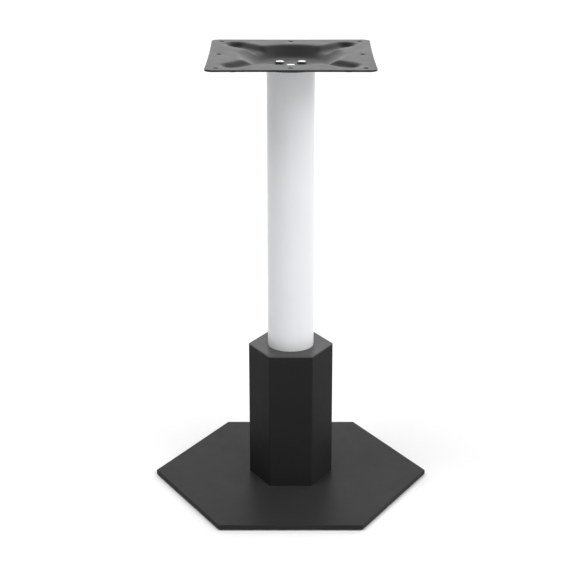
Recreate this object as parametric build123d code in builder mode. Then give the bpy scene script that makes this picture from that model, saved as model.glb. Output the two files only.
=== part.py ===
from build123d import *
from math import atan2, cos, pi, radians, sin, tan
import os

os.makedirs("parts", exist_ok=True)

# ---------------------------------------------------------------- dimensions
# Millimetres. Floor at Z = 0, +Z up, column axis on X = Y = 0,
# one flat of each hexagon faces -Y (the front).

total_h = 730.0            # floor to the face that the table top rests on

pad_t = 2.0                # self-adhesive floor pads
pad_d = 32.0
pad_at = 192.0             # pad centre from the axis, along each corner

base_af = 400.0            # base plate, across flats
base_t = 8.0
base_corner_r = 2.0
base_edge_r = 1.2          # eased upper edge
base_under_c = 0.8         # chamfer of the lower edge

sleeve_af = 122.0          # sheet cover around the column foot, across flats
sleeve_t = 2.0
sleeve_bend_r = 3.0        # outside of the folds
sleeve_h = 234.0           # base plate to lid, lid included
lid_hole_d = 77.0          # slips over the tube
lid_edge_r = 0.7

tube_d = 76.0
tube_t = 2.0

flange_d = 108.0           # disc welded under the tube
flange_t = 8.0
flange_c = 1.0
base_screw_pcd = 92.0

head_disc_t = 10.0         # disc welded into the top end of the tube
top_bolt_pcd = 40.0

plate_side = 260.0         # pressed top plate
plate_t = 3.0
plate_corner_r = 13.0
plate_bow = 1.5            # each side is drawn in by this much at its middle
plate_edge_r = 0.5
plate_hole_d = 8.0
plate_hole_pitch = 225.0   # corner holes, centre to centre along X and Y
dish_depth = 16.5
dish_floor_r = 55.0        # radius of the dish at its floor, before rounding
dish_lip_r = 85.0          # radius of the dish at the flange, before rounding
channel_floor = 2.5        # half width of a channel, carried down to the level of the dish floor
channel_lip = 18.5         # half width of a channel at the flange, before rounding
channel_end = 124.0        # centre of a channel's round end, from the axis
channel_depth = 8.2        # the channels open into the dish half way down its wall
ridge_turn = 17.0          # degrees from a channel's axis to where the dish arc starts
rise_from = 55.0           # along the diagonal: the dish wall below a channel's mouth
rise_to = 70.0
rise_r = 16.0              # bend from the dish floor into that wall
sill_r = 16.0              # bend from that wall into the channel's floor
lip_r = 18.0               # rounding from the flange into the pressing
foot_r = 5.0               # rounding from the wall into the floor

m8_r = 4.0
m8_thread_r = 3.95         # shank inside a tapped hole
m8_clear_r = 4.5
csk_head_r = 8.0           # countersunk head
csk_socket_af = 5.0
csk_socket_depth = 3.0
csk_len = 15.0             # countersunk screw, over all
hex_af = 13.0              # hexagon head
hex_k = 3.5                # low head
hex_crown = 0.93           # flat of the crown, as a part of the width across flats
hex_face_r = 6.1           # raised washer face under the head
hex_face_t = 0.4
hex_len = 16.0

# ------------------------------------------------------------ derived heights
base_z = pad_t
base_top = base_z + base_t
flange_top = base_top + flange_t
sleeve_top = base_top + sleeve_h
dish_top = total_h - dish_depth          # upper face of the dish floor
dish_under = dish_top - plate_t          # where the tube meets the plate

# ----------------------------------------------------------------- foot pads
with BuildPart() as foot_pads:
    with BuildSketch(Plane.XY):
        with PolarLocations(pad_at, 6):
            Circle(pad_d / 2)
    extrude(amount=pad_t)

# ---------------------------------------------------------------- base plate
with BuildPart() as base_plate:
    with BuildSketch(Plane.XY.offset(base_z)) as base_outline:
        RegularPolygon(base_af / 2, 6, major_radius=False)
        fillet(base_outline.vertices(), base_corner_r)
    extrude(amount=base_t)
    fillet(base_plate.faces().sort_by(Axis.Z)[-1].edges(), base_edge_r)
    chamfer(base_plate.faces().sort_by(Axis.Z)[0].edges(), base_under_c)
    with Locations(Plane(origin=(0, 0, base_z), x_dir=(1, 0, 0), z_dir=(0, 0, -1))):
        with PolarLocations(base_screw_pcd / 2, 4, start_angle=45):
            CounterSinkHole(m8_clear_r, csk_head_r + 0.2, depth=base_t, counter_sink_angle=90)

# --------------------------------------------------------------- base screws
csk_low = base_z + 0.2                   # heads sit just under flush
csk_k = csk_head_r - m8_thread_r         # 90 degree head
with BuildPart() as base_screws:
    with Locations((0, 0, csk_low)):
        with PolarLocations(base_screw_pcd / 2, 4, start_angle=45):
            Cone(csk_head_r, m8_thread_r, csk_k, align=(Align.CENTER, Align.CENTER, Align.MIN))
            Cylinder(m8_thread_r, csk_len, align=(Align.CENTER, Align.CENTER, Align.MIN))
    with BuildSketch(Plane.XY.offset(csk_low)):
        with PolarLocations(base_screw_pcd / 2, 4, start_angle=45):
            RegularPolygon(csk_socket_af / 2, 6, major_radius=False)
    extrude(amount=csk_socket_depth, mode=Mode.SUBTRACT)

# --------------------------------------------------------------- foot flange
with BuildPart() as foot_flange:
    with BuildSketch(Plane.XY.offset(base_top)):
        Circle(flange_d / 2)
        with PolarLocations(base_screw_pcd / 2, 4, start_angle=45):
            Circle(m8_r, mode=Mode.SUBTRACT)
    extrude(amount=flange_t)
    chamfer(
        foot_flange.edges().filter_by(GeomType.CIRCLE).filter_by(lambda e: e.radius > flange_d / 4),
        flange_c,
    )

# --------------------------------------------------------------- column tube
with BuildPart() as column_tube:
    with BuildSketch(Plane.XY.offset(flange_top)):
        Circle(tube_d / 2)
        Circle(tube_d / 2 - tube_t, mode=Mode.SUBTRACT)
    extrude(amount=dish_under - flange_top)

# ----------------------------------------------------------------- head disc
with BuildPart() as head_disc:
    with BuildSketch(Plane.XY.offset(dish_under - head_disc_t)):
        Circle(tube_d / 2 - tube_t)
        with PolarLocations(top_bolt_pcd / 2, 3, start_angle=-90):
            Circle(m8_r, mode=Mode.SUBTRACT)
    extrude(amount=head_disc_t)

# --------------------------------------------------------------- sleeve wall
with BuildPart() as sleeve_wall:
    with BuildSketch(Plane.XY.offset(base_top)) as wall_outer:
        RegularPolygon(sleeve_af / 2, 6, major_radius=False)
        fillet(wall_outer.vertices(), sleeve_bend_r)
    extrude(amount=sleeve_h - sleeve_t)
    with BuildSketch(Plane.XY.offset(base_top)) as wall_inner:
        RegularPolygon(sleeve_af / 2 - sleeve_t, 6, major_radius=False)
        fillet(wall_inner.vertices(), sleeve_bend_r - sleeve_t)
    extrude(amount=sleeve_h - sleeve_t, mode=Mode.SUBTRACT)

# ---------------------------------------------------------------- sleeve lid
with BuildPart() as sleeve_lid:
    with BuildSketch(Plane.XY.offset(sleeve_top - sleeve_t)) as lid_outline:
        RegularPolygon(sleeve_af / 2, 6, major_radius=False)
        fillet(lid_outline.vertices(), sleeve_bend_r)
    extrude(amount=sleeve_t)
    fillet(sleeve_lid.faces().sort_by(Axis.Z)[-1].edges(), lid_edge_r)
    with BuildSketch(Plane.XY.offset(sleeve_top - sleeve_t)):
        Circle(lid_hole_d / 2)
    extrude(amount=sleeve_t, mode=Mode.SUBTRACT)


# ----------------------------------------------------------------- top plate
def press_points(r, w):
    """Outline of the round dish of radius r with four diagonal channels of half
    width w. For each channel, in order: where the dish arc ends, middle of the
    ridge arc, start and end of one side, tip, the other side back again, and the
    middle of the dish arc that leads to the next channel."""
    turn = radians(ridge_turn)
    j = (r * sin(turn) - w) / (1 - sin(turn))     # ridge arc, tangent to dish and channel
    uc, vc = (r + j) * cos(turn), w + j
    mid = (turn + 2.5 * pi) / 2                   # middle of the ridge arc, seen from its centre
    mu, mv = uc + j * cos(mid), vc + j * sin(mid)
    out = []
    for k in range(4):
        a = radians(45 + 90 * k)

        def at(u, v):
            return (u * cos(a) - v * sin(a), u * sin(a) + v * cos(a))

        out.append(
            (
                at(r * cos(turn), -r * sin(turn)),
                at(mu, -mv),
                at(uc, -w),
                at(channel_end, -w),
                at(channel_end + w, 0),
                at(channel_end, w),
                at(uc, w),
                at(mu, mv),
                at(r * cos(turn), r * sin(turn)),
                at(r * cos(pi / 4), r * sin(pi / 4)),
            )
        )
    return out


def level_edges(part, z):
    """Edges of the pressing that lie in the level z."""
    found = []
    for e in part.edges():
        box = e.bounding_box()
        m = e @ 0.5
        if abs(box.min.Z - z) < 1e-4 and abs(box.max.Z - z) < 1e-4 and max(abs(m.X), abs(m.Y)) < 112:
            found.append(e)
    return found


def foot_edges(part, side):
    """Edges where a wall of the pressing meets a floor; side is 1 above, -1 below."""
    found = []
    faces = [(f, f.edges()) for f in part.faces()]
    top = total_h - channel_depth + 0.5 if side > 0 else total_h - channel_depth - plate_t + 0.5
    for e in part.edges():
        m = e @ 0.5
        if not dish_under - 0.01 < m.Z < top:
            continue
        pair = [f for f, own in faces if any(e.is_same(x) for x in own)]
        if len(pair) != 2 or any(f.normal_at(m).Z * side < 0.05 for f in pair):
            continue
        kinds = [f.geom_type in (GeomType.PLANE, GeomType.CYLINDER) for f in pair]
        if kinds[0] != kinds[1]:
            found.append(e)
    return found


dish_flare = (dish_lip_r - dish_floor_r) / dish_depth       # run of the wall per unit of height
channel_flare = (channel_lip - channel_floor) / dish_depth
climb = atan2(dish_depth - channel_depth, rise_to - rise_from)


def below_channel(z0, z1, shift, low_r, high_r):
    """Outline of what lies below a channel: the dish floor, the climb out of the
    dish and the channel's level floor, with both bends."""
    b0, b1 = low_r * tan(climb / 2), high_r * tan(climb / 2)
    x0, x1 = rise_from + shift, rise_to + shift
    with BuildLine() as outline:
        ThreePointArc(
            (x0 - b0, z0),
            (x0 - b0 + low_r * sin(climb / 2), z0 + low_r * (1 - cos(climb / 2))),
            (x0 + b0 * cos(climb), z0 + b0 * sin(climb)),
        )
        Line((x0 + b0 * cos(climb), z0 + b0 * sin(climb)), (x1 - b1 * cos(climb), z1 - b1 * sin(climb)))
        ThreePointArc(
            (x1 - b1 * cos(climb), z1 - b1 * sin(climb)),
            (x1 + b1 - high_r * sin(climb / 2), z1 - high_r * (1 - cos(climb / 2))),
            (x1 + b1, z1),
        )
        Polyline((x1 + b1, z1), (180.0, z1), (180.0, z0 - 5.0), (x0 - b0, z0 - 5.0), (x0 - b0, z0))
    return outline.line


# Hollow of the pressing, seen from above: walls flare from the floor up
upper_h = dish_depth + 1.0
with BuildPart() as hollow_upper:
    for z, r, w in (
        (dish_top, dish_floor_r, channel_floor),
        (dish_top + upper_h, dish_floor_r + dish_flare * upper_h, channel_floor + channel_flare * upper_h),
    ):
        with BuildSketch(Plane.XY.offset(z)):
            with BuildLine():
                pts = press_points(r, w)
                for k in range(4):
                    p = pts[k]
                    ThreePointArc(p[0], p[1], p[2])
                    Line(p[2], p[3])
                    ThreePointArc(p[3], p[4], p[5])
                    Line(p[5], p[6])
                    ThreePointArc(p[6], p[7], p[8])
                    ThreePointArc(p[8], p[9], pts[(k + 1) % 4][0])
            make_face()
    loft(ruled=True)

# Bulge of the pressing, seen from below: one sheet thickness outside the hollow
lower_h = dish_depth + plate_t / 2
lower_r = dish_floor_r + plate_t * tan(atan2(1, dish_flare) / 2)
lower_w = channel_floor + plate_t * tan(atan2(1, channel_flare) / 2)
with BuildPart() as hollow_lower:
    for z, r, w in (
        (dish_under, lower_r, lower_w),
        (dish_under + lower_h, lower_r + dish_flare * lower_h, lower_w + channel_flare * lower_h),
    ):
        with BuildSketch(Plane.XY.offset(z)):
            with BuildLine():
                pts = press_points(r, w)
                for k in range(4):
                    p = pts[k]
                    ThreePointArc(p[0], p[1], p[2])
                    Line(p[2], p[3])
                    ThreePointArc(p[3], p[4], p[5])
                    Line(p[5], p[6])
                    ThreePointArc(p[6], p[7], p[8])
                    ThreePointArc(p[8], p[9], pts[(k + 1) % 4][0])
            make_face()
    loft(ruled=True)

# What lies below one channel, drawn along +X
channel_top = total_h - channel_depth
with BuildPart() as ramp_upper:
    with BuildSketch(Plane.XZ):
        with BuildLine():
            add(below_channel(dish_top, channel_top, 0.0, rise_r, sill_r))
        make_face()
    extrude(amount=60.0, both=True)

with BuildPart() as ramp_lower:
    with BuildSketch(Plane.XZ):
        with BuildLine():
            add(below_channel(dish_under, channel_top - plate_t, plate_t * tan(climb / 2), rise_r + plate_t, sill_r - plate_t))
        make_face()
    extrude(amount=60.0, both=True)

with BuildPart() as press_upper:
    add(hollow_upper.part)
    for k in range(4):
        add(ramp_upper.part, rotation=(0, 0, 45 + 90 * k), mode=Mode.SUBTRACT)

with BuildPart() as press_lower:
    add(hollow_lower.part)
    for k in range(4):
        add(ramp_lower.part, rotation=(0, 0, 45 + 90 * k), mode=Mode.SUBTRACT)

half = plate_side / 2
hole_at = plate_hole_pitch / 2
with BuildPart() as top_plate:
    with BuildSketch(Plane.XY.offset(total_h - plate_t)):
        with BuildLine():
            ThreePointArc((-half, -half), (0, plate_bow - half), (half, -half))
            ThreePointArc((half, -half), (half - plate_bow, 0), (half, half))
            ThreePointArc((half, half), (0, half - plate_bow), (-half, half))
            ThreePointArc((-half, half), (plate_bow - half, 0), (-half, -half))
        make_face()
    extrude(amount=plate_t)
    fillet(top_plate.edges().filter_by(Axis.Z), plate_corner_r)
    add(press_lower.part)
    add(press_upper.part, mode=Mode.SUBTRACT)
    fillet(level_edges(top_plate, total_h), lip_r)
    fillet(level_edges(top_plate, total_h - plate_t), lip_r - plate_t)
    fillet(foot_edges(top_plate, 1), foot_r)
    fillet(foot_edges(top_plate, -1), foot_r + plate_t)
    with BuildSketch(Plane.XY.offset(total_h + 1.0)):
        with GridLocations(plate_hole_pitch, plate_hole_pitch, 2, 2):
            Circle(plate_hole_d / 2)
        with PolarLocations(hole_at, 4):
            Circle(plate_hole_d / 2)
        with PolarLocations(top_bolt_pcd / 2, 3, start_angle=-90):
            Circle(m8_clear_r)
    extrude(amount=-(dish_depth + plate_t + 2.0), mode=Mode.SUBTRACT)
    rim = [
        e
        for e in top_plate.edges()
        if max(abs((e @ 0.5).X), abs((e @ 0.5).Y)) > 122 and abs((e @ 0).Z - (e @ 1).Z) < 1e-6
    ]
    fillet(rim, plate_edge_r)

# ----------------------------------------------------------------- top bolts
with BuildPart() as one_bolt:
    with BuildSketch(Plane.XY.offset(dish_top + hex_face_t)):
        RegularPolygon(hex_af / 2, 6, major_radius=False)
    extrude(amount=hex_k - hex_face_t)
    with BuildSketch(Plane.XZ):
        with BuildLine():
            corner_r = hex_af / 2 / cos(pi / 6)
            crown_r = hex_af / 2 * hex_crown
            drop = (corner_r + 1.0 - crown_r) * tan(radians(30))
            Polyline(
                (0, dish_top),
                (corner_r + 1.0, dish_top),
                (corner_r + 1.0, dish_top + hex_k - drop),
                (crown_r, dish_top + hex_k),
                (0, dish_top + hex_k),
                close=True,
            )
        make_face()
    revolve(axis=Axis.Z, mode=Mode.INTERSECT)
    with Locations((0, 0, dish_top)):
        Cylinder(hex_face_r, hex_face_t, align=(Align.CENTER, Align.CENTER, Align.MIN))
        Cylinder(m8_thread_r, hex_len, align=(Align.CENTER, Align.CENTER, Align.MAX))
    chamfer(one_bolt.faces().sort_by(Axis.Z)[0].edges(), 0.8)

with BuildPart() as top_bolts:
    with PolarLocations(top_bolt_pcd / 2, 3, start_angle=-90, rotate=False):
        add(one_bolt.part)

# -------------------------------------------------------------------- export
foot_pads.part.label = "foot_pads"
base_plate.part.label = "base_plate"
base_screws.part.label = "base_screws"
foot_flange.part.label = "foot_flange"
column_tube.part.label = "column_tube"
head_disc.part.label = "head_disc"
sleeve_wall.part.label = "sleeve_wall"
sleeve_lid.part.label = "sleeve_lid"
top_plate.part.label = "top_plate"
top_bolts.part.label = "top_bolts"

export_step(foot_pads.part, "parts/foot_pads.step")
export_step(base_plate.part, "parts/base_plate.step")
export_step(base_screws.part, "parts/base_screws.step")
export_step(foot_flange.part, "parts/foot_flange.step")
export_step(column_tube.part, "parts/column_tube.step")
export_step(head_disc.part, "parts/head_disc.step")
export_step(sleeve_wall.part, "parts/sleeve_wall.step")
export_step(sleeve_lid.part, "parts/sleeve_lid.step")
export_step(top_plate.part, "parts/top_plate.step")
export_step(top_bolts.part, "parts/top_bolts.step")
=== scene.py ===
import math

import bpy
import numpy as np
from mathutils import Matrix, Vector, geometry


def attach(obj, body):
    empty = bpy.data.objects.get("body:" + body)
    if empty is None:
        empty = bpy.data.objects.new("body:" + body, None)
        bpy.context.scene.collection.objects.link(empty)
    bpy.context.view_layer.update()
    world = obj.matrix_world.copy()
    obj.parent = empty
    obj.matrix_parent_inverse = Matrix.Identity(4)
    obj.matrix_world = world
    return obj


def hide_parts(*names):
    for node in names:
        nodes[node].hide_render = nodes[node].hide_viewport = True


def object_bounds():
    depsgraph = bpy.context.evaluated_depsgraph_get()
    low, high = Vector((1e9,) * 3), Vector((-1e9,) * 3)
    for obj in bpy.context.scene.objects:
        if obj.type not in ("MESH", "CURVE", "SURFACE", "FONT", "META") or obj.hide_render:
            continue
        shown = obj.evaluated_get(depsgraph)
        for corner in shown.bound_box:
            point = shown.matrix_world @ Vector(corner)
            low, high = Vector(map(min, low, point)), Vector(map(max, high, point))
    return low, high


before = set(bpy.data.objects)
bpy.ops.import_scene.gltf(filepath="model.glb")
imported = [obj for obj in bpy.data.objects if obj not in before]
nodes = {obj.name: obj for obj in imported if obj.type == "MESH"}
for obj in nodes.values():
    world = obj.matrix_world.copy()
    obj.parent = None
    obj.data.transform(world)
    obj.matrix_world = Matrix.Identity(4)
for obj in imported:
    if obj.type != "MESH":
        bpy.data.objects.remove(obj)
cad_lo, cad_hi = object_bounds()
scene = bpy.context.scene

# ------------------------------------------------------------------- camera
PITCH = math.radians(19.245)
DIST = 2.5081
TARGET_Z = 0.34693
cam_data = bpy.data.cameras.new("camera")
cam_data.sensor_fit = "HORIZONTAL"
cam_data.sensor_width = 36.0
cam_data.lens = 94.415
cam_data.clip_start, cam_data.clip_end = 0.05, 200.0
cam = bpy.data.objects.new("camera", cam_data)
cam.location = (-0.00126, -DIST * math.cos(PITCH), TARGET_Z + DIST * math.sin(PITCH))
cam.rotation_euler = (math.pi / 2 - PITCH, 0.0, 0.0)
scene.collection.objects.link(cam)
scene.camera = cam
scene.view_settings.view_transform = "Standard"
scene.view_settings.look = "None"


# ---------------------------------------------------------------- materials
class Mat:
    """A node material with a principled shader and a few helpers."""

    def __init__(self, name):
        self.m = bpy.data.materials.new(name)
        self.m.use_nodes = True
        self.t = self.m.node_tree
        self.t.nodes.clear()
        self.out = self.node("ShaderNodeOutputMaterial")
        self.bsdf = self.node("ShaderNodeBsdfPrincipled")
        self.link(self.bsdf.outputs["BSDF"], self.out.inputs["Surface"])
        self.co = self.node("ShaderNodeTexCoord").outputs["Object"]

    def node(self, kind, **props):
        n = self.t.nodes.new(kind)
        for k, v in props.items():
            setattr(n, k, v)
        return n

    def link(self, a, b):
        self.t.links.new(a, b)

    def set(self, **values):
        for k, v in values.items():
            self.bsdf.inputs[k.replace("_", " ")].default_value = v

    def stretched(self, scale):
        m = self.node("ShaderNodeMapping")
        m.inputs["Scale"].default_value = scale
        self.link(self.co, m.inputs["Vector"])
        return m.outputs["Vector"]

    def noise(self, scale, detail=2.0, rough=0.5, co=None, distortion=0.0):
        n = self.node("ShaderNodeTexNoise")
        n.inputs["Scale"].default_value = scale
        n.inputs["Detail"].default_value = detail
        n.inputs["Roughness"].default_value = rough
        n.inputs["Distortion"].default_value = distortion
        self.link(co or self.co, n.inputs["Vector"])
        return n.outputs["Fac"]

    def ramp(self, fac, stops):
        r = self.node("ShaderNodeValToRGB")
        e = r.color_ramp.elements
        while len(e) < len(stops):
            e.new(0.5)
        for el, (pos, col) in zip(e, stops):
            el.position = pos
            el.color = (*col, 1.0) if len(col) == 3 else col
        self.link(fac, r.inputs["Fac"])
        return r.outputs["Color"]

    def span(self, fac, lo, hi, from_lo=0.3, from_hi=0.7):
        r = self.node("ShaderNodeMapRange")
        r.inputs["From Min"].default_value = from_lo
        r.inputs["From Max"].default_value = from_hi
        r.inputs["To Min"].default_value = lo
        r.inputs["To Max"].default_value = hi
        self.link(fac, r.inputs["Value"])
        return r.outputs["Result"]

    def math(self, op, a, b):
        n = self.node("ShaderNodeMath", operation=op)
        for i, v in enumerate((a, b)):
            if isinstance(v, (int, float)):
                n.inputs[i].default_value = v
            else:
                self.link(v, n.inputs[i])
        return n.outputs[0]

    def bump(self, height, distance, strength=1.0, normal=None):
        b = self.node("ShaderNodeBump")
        b.inputs["Strength"].default_value = strength
        b.inputs["Distance"].default_value = distance
        self.link(height, b.inputs["Height"])
        if normal is not None:
            self.link(normal, b.inputs["Normal"])
        return b.outputs["Normal"]

    def to(self, socket, value):
        self.link(value, self.bsdf.inputs[socket])


def powder_coat(name, dark, light, rough, level, peel=0.00003, grain=0.000008):
    """Powder coat: slight cloudiness in the colour, orange peel of about a
    millimetre and a fine grain on top of it."""
    m = Mat(name)
    cloud = m.noise(9.0, 4.0, 0.55)
    m.to("Base Color", m.ramp(cloud, [(0.30, dark), (0.70, light)]))
    m.to("Roughness", m.span(m.noise(45.0, 3.0), rough - 0.03, rough + 0.03))
    skin = m.noise(620.0, 2.0, 0.5)
    fine = m.noise(2600.0, 1.0, 0.5)
    n = m.bump(skin, peel)
    m.to("Normal", m.bump(fine, grain, normal=n))
    m.set(Specular_IOR_Level=level)
    return m


# One black powder coat in four copies, each given its own darkness to stand in for the light and shade on its part: the
# lid copy is painted lighter, a painted sheen for how it catches light at a grazing view; the base, sleeve wall and top
# plate copies are painted darker, painted shade.
black_base_painted_shade = powder_coat("black_coat_base_painted_shade", (0.0206, 0.0206, 0.0208), (0.0234, 0.0234, 0.0236), 0.43, 0.031)
black_wall_painted_shade = powder_coat("black_coat_wall_painted_shade", (0.0148, 0.0148, 0.0150), (0.0172, 0.0172, 0.0174), 0.50, 0.03)
black_lid_painted_light = powder_coat("black_coat_lid_painted_light", (0.0540, 0.0540, 0.0548), (0.0600, 0.0600, 0.0608), 0.40, 0.065)
black_plate_painted_shade = powder_coat("black_coat_plate_painted_shade", (0.0072, 0.0072, 0.0073), (0.0093, 0.0093, 0.0094), 0.52, 0.40)
white_tube = powder_coat("white_coat", (0.640, 0.647, 0.666), (0.666, 0.673, 0.692), 0.40, 0.45)

# Bright zinc: fine blotches in the shine, faint turning marks
zinc = Mat("zinc")
zinc.to("Base Color", zinc.ramp(zinc.noise(220.0, 3.0, 0.6), [(0.30, (0.42, 0.425, 0.43)), (0.70, (0.58, 0.58, 0.585))]))
zinc.to("Roughness", zinc.span(zinc.noise(500.0, 3.0, 0.6), 0.16, 0.32))
zinc.to("Normal", zinc.bump(zinc.noise(1400.0, 2.0, 0.5), 0.00002))
zinc.set(Metallic=1.0)

# Black oxide screws
oxide = Mat("black_oxide")
oxide.to("Base Color", oxide.ramp(oxide.noise(300.0, 3.0, 0.6), [(0.3, (0.018, 0.017, 0.017)), (0.7, (0.045, 0.043, 0.042))]))
oxide.to("Roughness", oxide.span(oxide.noise(700.0, 2.0), 0.34, 0.52))
oxide.to("Normal", oxide.bump(oxide.noise(1800.0, 2.0), 0.00002))
oxide.set(Metallic=0.85)

# Plain mild steel inside: grey mill scale, a little rust bloom
steel = Mat("mild_steel")
steel.to(
    "Base Color",
    steel.ramp(steel.noise(60.0, 6.0, 0.65), [(0.28, (0.14, 0.14, 0.15)), (0.55, (0.26, 0.26, 0.27)), (0.80, (0.22, 0.17, 0.14))]),
)
steel.to("Roughness", steel.span(steel.noise(130.0, 4.0), 0.38, 0.62))
steel.to("Normal", steel.bump(steel.noise(900.0, 4.0, 0.6), 0.00005))
steel.set(Metallic=0.8)

# Foam rubber pads: fine closed pores
foam = Mat("foam_pad")
foam.to("Base Color", foam.ramp(foam.noise(400.0, 3.0), [(0.35, (0.020, 0.020, 0.020)), (0.70, (0.045, 0.045, 0.046))]))
pores = foam.node("ShaderNodeTexVoronoi")
pores.inputs["Scale"].default_value = 1500.0
foam.link(foam.co, pores.inputs["Vector"])
foam.to("Roughness", foam.span(foam.noise(350.0, 2.0), 0.80, 0.95))
foam.to("Normal", foam.bump(pores.outputs["Distance"], 0.00015))
foam.set(Specular_IOR_Level=0.3)

assign = {
    "base_plate": black_base_painted_shade,
    "sleeve_wall": black_wall_painted_shade,
    "sleeve_lid": black_lid_painted_light,
    "top_plate": black_plate_painted_shade,
    "column_tube": white_tube,
    "top_bolts": zinc,
    "base_screws": oxide,
    "foot_flange": steel,
    "head_disc": steel,
    "foot_pads": foam,
}
for name, mat in assign.items():
    me = nodes[name].data
    me.materials.clear()
    me.materials.append(mat.m)

# ------------------------------------------------------ pressed top plate (mm)
PLATE_T = 3.0
DEPTH = 16.5
Z_TOP = cad_hi.z * 1000.0
DISH_LIP, DISH_FLOOR = 91.7, 53.8        # the wall starts to fall at one radius and ends at the other
DISH_ROUND = (0.35, 0.05)                # part of the wall that is rounded at the lip and at the floor
CH_END = 124.6                           # centre of a channel's round end
CH_LIP, CH_FLOOR = 23.0, 8.1             # half width of a channel at the flange and at its floor
CH_ROUND = (0.70, 0.27)
CH_LEVEL = ([45.0, 65.0, 85.0, 110.0, 140.0], [1.0, 0.535, 0.490, 0.45, 0.45])
MERGE = 3.0                              # how softly a channel's floor runs into the dish
SOFT = 3.2                               # the sheet can't follow a sharp tool: overall rounding


def wall(s, start, end):
    """0 up to s = 0, 1 from s = 1 on: a straight wall with a rounded start and end."""
    h = 1.0 / (1.0 - (start + end) / 2.0)
    s = np.clip(s, 0.0, 1.0)
    lead = np.minimum(s / start, 1.0)
    tail = np.minimum((1.0 - s) / end, 1.0)
    return np.where(
        s < start,
        h * start * (lead**3 - 0.5 * lead**4),
        np.where(s > 1.0 - end, 1.0 - h * end * (tail**3 - 0.5 * tail**4), h * (s - start / 2.0)),
    )


def tool(x, y):
    """Depth of the press tool: a round dish and four diagonal channels that open
    into it half way down its wall."""
    dish = DEPTH * wall((DISH_LIP - np.hypot(x, y)) / (DISH_LIP - DISH_FLOOR), *DISH_ROUND)
    u = (np.abs(x) + np.abs(y)) / math.sqrt(2.0)
    v = np.abs(np.abs(x) - np.abs(y)) / math.sqrt(2.0)
    off = np.where(u < CH_END, v, np.hypot(u - CH_END, v))
    channel = DEPTH * np.interp(u, *CH_LEVEL) * wall(1.0 - (off - CH_FLOOR) / (CH_LIP - CH_FLOOR), *CH_ROUND)
    h = np.clip(0.5 + 0.5 * (dish - channel) / MERGE, 0.0, 1.0)
    swell = MERGE * h * (1.0 - h) * np.clip(np.minimum(dish, channel) / 2.0, 0.0, 1.0)
    return np.minimum(channel + (dish - channel) * h + swell, DEPTH)


REACH = np.arange(-8, 9) * (SOFT * 0.36)
WEIGHT = np.exp(-0.5 * (REACH / SOFT) ** 2)
WEIGHT /= WEIGHT.sum()


def pressed(x, y):
    """Depth of the pressed sheet at points x, y: the tool's shape, rounded all over."""
    x, y = np.asarray(x, float), np.asarray(y, float)
    out = np.zeros_like(x)
    for dx, wx in zip(REACH, WEIGHT):
        for dy, wy in zip(REACH, WEIGHT):
            out += wx * wy * tool(x + dx, y + dy)
    return out


def sheet(xs, ys, d=0.3):
    """Depths and unit normals of the sheet's upper face."""
    depth = pressed(xs, ys)
    nx = (pressed(xs + d, ys) - pressed(xs - d, ys)) / (2.0 * d)
    ny = (pressed(xs, ys + d) - pressed(xs, ys - d)) / (2.0 * d)
    n = np.stack([nx, ny, np.ones_like(nx)], 1)
    return depth, n / np.linalg.norm(n, axis=1)[:, None]


def plate_outline():
    """Square with sides drawn in a little and round corners: points and outward normals."""
    half, bow, r = 130.0, 1.5, 13.0
    c = 116.706
    tilt = 2.0 * bow * c / half**2
    side_x = c - r * math.sin(math.atan(tilt))
    one = []
    n_side, n_corner = 72, 14
    for i in range(n_side):
        x = -side_x + 2.0 * side_x * i / n_side
        slope = 2.0 * bow * x / half**2
        n = Vector((-slope, 1.0)).normalized()
        one.append((Vector((x, half - bow * (1.0 - (x / half) ** 2))), n))
    a0, a1 = math.pi / 2 + math.atan(tilt), -math.atan(tilt)
    for i in range(n_corner):
        a = a0 + (a1 - a0) * i / n_corner
        n = Vector((math.cos(a), math.sin(a)))
        one.append((Vector((c, c)) + r * n, n))
    loop = []
    for k in range(4):
        ca, sa = math.cos(-k * math.pi / 2), math.sin(-k * math.pi / 2)
        for p, n in one:
            loop.append((Vector((p.x * ca - p.y * sa, p.x * sa + p.y * ca)), Vector((n.x * ca - n.y * sa, n.x * sa + n.y * ca))))
    loop.reverse()                        # counter-clockwise
    return loop


def hole_loop(cx, cy, r, n=28):
    """A hole's wall: points clockwise, and normals that point into the hole."""
    return [
        (
            Vector((cx + r * math.cos(-2 * math.pi * i / n), cy + r * math.sin(-2 * math.pi * i / n))),
            Vector((-math.cos(-2 * math.pi * i / n), -math.sin(-2 * math.pi * i / n))),
        )
        for i in range(n)
    ]


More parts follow.
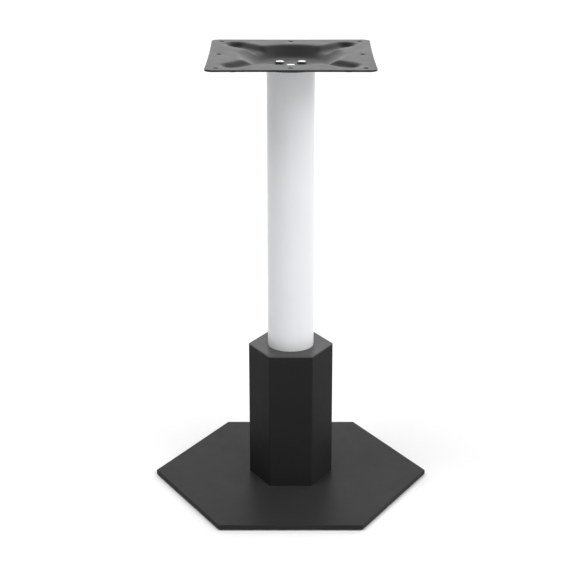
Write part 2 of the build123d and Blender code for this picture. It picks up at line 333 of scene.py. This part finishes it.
def build_plate():
    pitch, step = 112.5, 2.1
    holes = [(sx * pitch, sy * pitch, 4.0) for sx in (-1, 1) for sy in (-1, 1)]
    holes += [(pitch, 0.0, 4.0), (-pitch, 0.0, 4.0), (0.0, pitch, 4.0), (0.0, -pitch, 4.0)]
    holes += [(20.0 * math.cos(a), 20.0 * math.sin(a), 4.5) for a in (-math.pi / 2, math.pi / 6, 5 * math.pi / 6)]
    rim = plate_outline()
    loops = [(rim, 0.5)] + [(hole_loop(*h), 0.15) for h in holes]

    flat_pts, flat_edges, spans = [], [], []
    for loop, r in loops:
        start = len(flat_pts)
        flat_pts += [p - r * n for p, n in loop]
        n_loop = len(loop)
        flat_edges += [(start + i, start + (i + 1) % n_loop) for i in range(n_loop)]
        spans.append((start, n_loop))

    k = int(130.0 / step)
    for i in range(-k, k + 1):
        for j in range(-k, k + 1):
            x, y = i * step, j * step
            if max(abs(x), abs(y)) > 127.0 or math.hypot(max(abs(x) - 116.7, 0.0), max(abs(y) - 116.7, 0.0)) > 11.0:
                continue
            if any(math.hypot(x - cx, y - cy) < r + 1.6 for cx, cy, r in holes):
                continue
            flat_pts.append(Vector((x, y)))

    out = geometry.delaunay_2d_cdt(flat_pts, flat_edges, [], 1, 1e-5)
    pts, tris, orig = out[0], out[2], out[3]
    place = {}
    for new, olds in enumerate(orig):
        for o in olds:
            place[o] = new
    keep = []
    for t in tris:
        if any(all(math.hypot(pts[i].x - hx, pts[i].y - hy) < hr + 0.2 for i in t) for hx, hy, hr in holes):
            continue                      # inside a hole
        a, b, c = (pts[i] for i in t)
        area = (b.x - a.x) * (c.y - a.y) - (b.y - a.y) * (c.x - a.x)
        keep.append(tuple(t) if area > 0 else tuple(reversed(t)))

    verts, normals, faces = [], [], []
    depths, slopes = sheet(np.array([p.x for p in pts]), np.array([p.y for p in pts]))
    for p, depth, n in zip(pts, depths, slopes):
        verts.append(Vector((p.x, p.y, Z_TOP - float(depth))))
        normals.append(Vector([float(q) for q in n]))
    under = len(verts)
    for i in range(under):
        verts.append(verts[i] - PLATE_T * normals[i])
        normals.append(-normals[i])
    for a, b, c in keep:
        faces.append((a, b, c))
        faces.append((under + a, under + c, under + b))

    # rounded edges and the walls between the upper and the lower face
    for (loop, r), (start, n_loop) in zip(loops, spans):
        rows = [[place[start + i] for i in range(n_loop)]]
        mid = sum((p for p, _ in loop), Vector((0.0, 0.0))) / n_loop
        top = Z_TOP - (float(pressed([mid.x], [mid.y])[0]) if r < 0.5 else 0.0)
        profile = [(r * math.sin(a), -r * (1 - math.cos(a)), a) for a in (math.pi / 6, math.pi / 3, math.pi / 2)]
        profile += [(q[0], -PLATE_T - q[1], math.pi - q[2]) for q in reversed(profile)]
        for out_by, dz, a in profile:
            row = []
            for p, n in loop:
                q = p - r * n + out_by * n
                row.append(len(verts))
                verts.append(Vector((q.x, q.y, top + dz)))
                normals.append(Vector((n.x * math.sin(a), n.y * math.sin(a), math.cos(a))))
            rows.append(row)
        rows.append([under + place[start + i] for i in range(n_loop)])
        for upper, lower in zip(rows, rows[1:]):
            for i in range(n_loop):
                j = (i + 1) % n_loop
                faces.append((upper[i], lower[i], lower[j], upper[j]))

    me = bpy.data.meshes.new("pressed_plate")
    me.from_pydata([v / 1000.0 for v in verts], [], faces)
    me.validate()
    me.polygons.foreach_set("use_smooth", [True] * len(me.polygons))
    me.normals_split_custom_set_from_vertices([n.normalized() for n in normals])
    me.update()
    ob = bpy.data.objects.new("pressed_plate", me)
    scene.collection.objects.link(ob)
    return ob


plate = build_plate()
plate.data.materials.append(black_plate_painted_shade.m)
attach(plate, "root")
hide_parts("top_plate")

# ------------------------------------------------------------ floor and light
floor_me = bpy.data.meshes.new("floor")
R = 40.0
floor_me.from_pydata([(-R, -R, 0), (R, -R, 0), (R, R, 0), (-R, R, 0)], [], [(0, 1, 2, 3)])
floor = bpy.data.objects.new("floor", floor_me)
scene.collection.objects.link(floor)
fm = Mat("floor")
fm.to("Base Color", fm.ramp(fm.noise(1.5, 2.0), [(0.3, (0.735, 0.735, 0.735)), (0.7, (0.750, 0.750, 0.750))]))
fm.set(Roughness=0.9, Specular_IOR_Level=0.1)
floor_me.materials.append(fm.m)

world = bpy.data.worlds.new("studio")
scene.world = world
world.use_nodes = True
wt = world.node_tree
wt.nodes.clear()


def w_node(kind, **props):
    n = wt.nodes.new(kind)
    for k, v in props.items():
        setattr(n, k, v)
    return n


def w_ramp(fac, stops):
    """Light level along one direction: (position, level) pairs."""
    r = w_node("ShaderNodeFloatCurve")
    c = r.mapping.curves[0]
    pts = c.points
    while len(pts) < len(stops):
        pts.new(0.5, 0.5)
    for q, (x, y) in zip(pts, stops):
        q.location = (x, y)
        q.handle_type = "AUTO_CLAMPED"
    r.mapping.use_clip = False
    r.mapping.update()
    wt.links.new(fac, r.inputs["Value"])
    return r.outputs["Value"]


def w_span(fac, from_lo, from_hi, lo, hi):
    r = w_node("ShaderNodeMapRange", interpolation_type="SMOOTHSTEP")
    for k, v in (("From Min", from_lo), ("From Max", from_hi), ("To Min", lo), ("To Max", hi)):
        r.inputs[k].default_value = v
    wt.links.new(fac, r.inputs["Value"])
    return r.outputs["Result"]


def w_math(op, a, b):
    n = w_node("ShaderNodeMath", operation=op)
    for i, v in enumerate((a, b)):
        if isinstance(v, (int, float)):
            n.inputs[i].default_value = v
        else:
            wt.links.new(v, n.inputs[i])
    return n.outputs[0]


w_sep = w_node("ShaderNodeSeparateXYZ")
wt.links.new(w_node("ShaderNodeTexCoord").outputs["Generated"], w_sep.inputs[0])
w_x, w_y, w_z = (w_sep.outputs[k] for k in "XYZ")
# a soft room that is brighter on the right, and a white wall of light behind the object
room = w_math("MULTIPLY", w_ramp(w_z, [(0.0, 0.46), (0.35, 0.42), (0.70, 0.25), (1.0, 0.17)]), w_span(w_x, -0.9, 0.9, 0.08, 2.25))
back = w_math("MULTIPLY", w_ramp(w_z, [(0.0, 2.0), (0.28, 2.0), (0.55, 1.45), (0.85, 0.20)]), w_span(w_y, 0.10, 0.80, 0.0, 1.0))
# looked at directly the room is plain white on every side, so that the black plate stands out in low views
level = w_math("MAXIMUM", w_math("ADD", room, back), w_node("ShaderNodeLightPath").outputs["Is Camera Ray"])
w_bg = w_node("ShaderNodeBackground")
w_bg.inputs["Color"].default_value = (1.0, 1.0, 1.0, 1.0)
wt.links.new(level, w_bg.inputs["Strength"])
wt.links.new(w_bg.outputs["Background"], w_node("ShaderNodeOutputWorld").inputs["Surface"])

for light, energy, angle, travel in (
    ("key", 1.72, 50, (-0.64, 0.66, -0.88)),
    ("fill", 1.86, 40, (0.60, 0.34, -1.28)),
):
    sun_data = bpy.data.lights.new(light, "SUN")
    sun_data.energy = energy
    sun_data.angle = math.radians(angle)
    sun = bpy.data.objects.new(light, sun_data)
    sun.rotation_euler = Vector(travel).to_track_quat("-Z", "Y").to_euler()
    sun.visible_glossy = False            # a diffuse wash: the coat's shine shows the room and the back wall only
    scene.collection.objects.link(sun)
